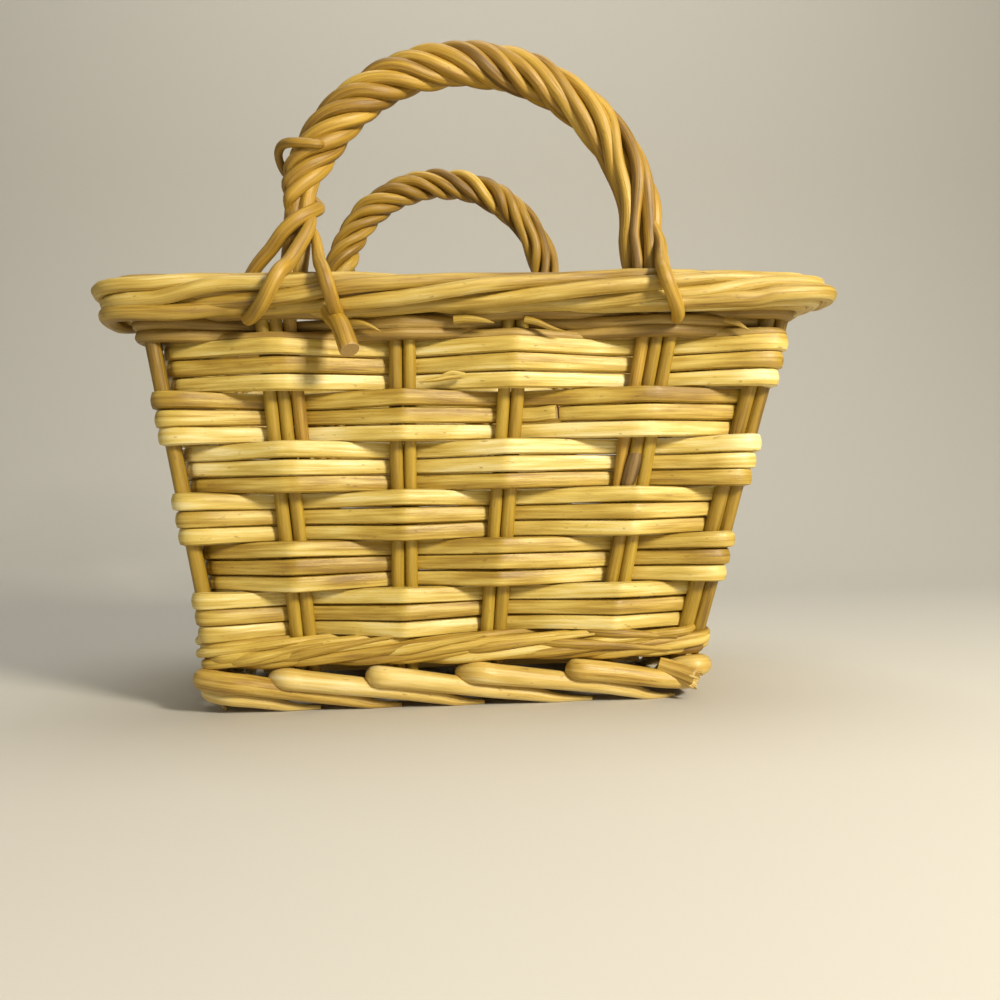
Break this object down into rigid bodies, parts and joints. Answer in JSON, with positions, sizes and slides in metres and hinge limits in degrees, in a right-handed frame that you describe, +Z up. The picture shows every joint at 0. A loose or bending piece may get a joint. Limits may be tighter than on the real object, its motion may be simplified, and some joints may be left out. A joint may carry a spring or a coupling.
{
  "type": "woven willow basket",
  "caption": "Flared rectangular wicker basket woven in flat bands over paired stakes, with a rolled border, a foot of slanting rods and roped arch handles.",
  "frame": {"origin": "centre of the bounding box on the floor the foot stands on", "axes": "+X along the long wall to the right seen from the front, +Y to the back wall, +Z up"},
  "size_m": [0.2986, 0.2178, 0.2781],
  "materials": {
    "base_willow": "satin",
    "wale_willow": "satin",
    "border_willow": "satin",
    "bow_willow": "satin",
    "wrap_willow": "satin",
    "siding_willow": "satin",
    "stake_willow": "satin",
    "foot_willow": "satin"
  },
  "bodies": {
    "root": {"base_mat": "base_willow", "base_sticks": "base_willow", "bottom_wale_lower": "wale_willow", "bottom_wale_upper": "wale_willow", "bottom_wale_inner": "wale_willow", "top_wale": "wale_willow", "border": "border_willow", "front_bow": "bow_willow", "rear_bow": "bow_willow", "front_wrap": "wrap_willow", "rear_wrap": "wrap_willow", "tie_front_left_over": "wrap_willow", "tie_front_left_end": "wrap_willow", "tie_front_left_back": "wrap_willow", "tie_front_right": "wrap_willow", "tie_rear_left": "wrap_willow", "tie_rear_right": "wrap_willow", "siding_band_1": "siding_willow", "siding_band_2": "siding_willow", "siding_band_3": "siding_willow", "siding_band_4": "siding_willow", "siding_band_5": "siding_willow", "siding_band_6": "siding_willow", "stakes_front_left": "stake_willow", "stakes_front_1": "stake_willow", "stakes_front_2": "stake_willow", "stakes_front_3": "stake_willow", "stakes_front_4": "stake_willow", "stakes_front_right": "stake_willow", "stakes_right_1": "stake_willow", "stakes_right_2": "stake_willow", "stakes_rear_right": "stake_willow", "stakes_rear_1": "stake_willow", "stakes_rear_2": "stake_willow", "stakes_rear_3": "stake_willow", "stakes_rear_4": "stake_willow", "stakes_rear_left": "stake_willow", "stakes_left_1": "stake_willow", "stakes_left_2": "stake_willow", "foot_rod_front_left": "foot_willow", "foot_rod_front_1": "foot_willow", "foot_rod_front_2": "foot_willow", "foot_rod_front_3": "foot_willow", "foot_rod_front_4": "foot_willow", "foot_rod_front_right": "foot_willow", "foot_rod_right_1": "foot_willow", "foot_rod_right_2": "foot_willow", "foot_rod_rear_right": "foot_willow", "foot_rod_rear_1": "foot_willow", "foot_rod_rear_2": "foot_willow", "foot_rod_rear_3": "foot_willow", "foot_rod_rear_4": "foot_willow", "foot_rod_rear_left": "foot_willow", "foot_rod_left_1": "foot_willow", "foot_rod_left_2": "foot_willow"}
  },
  "joints": []
}
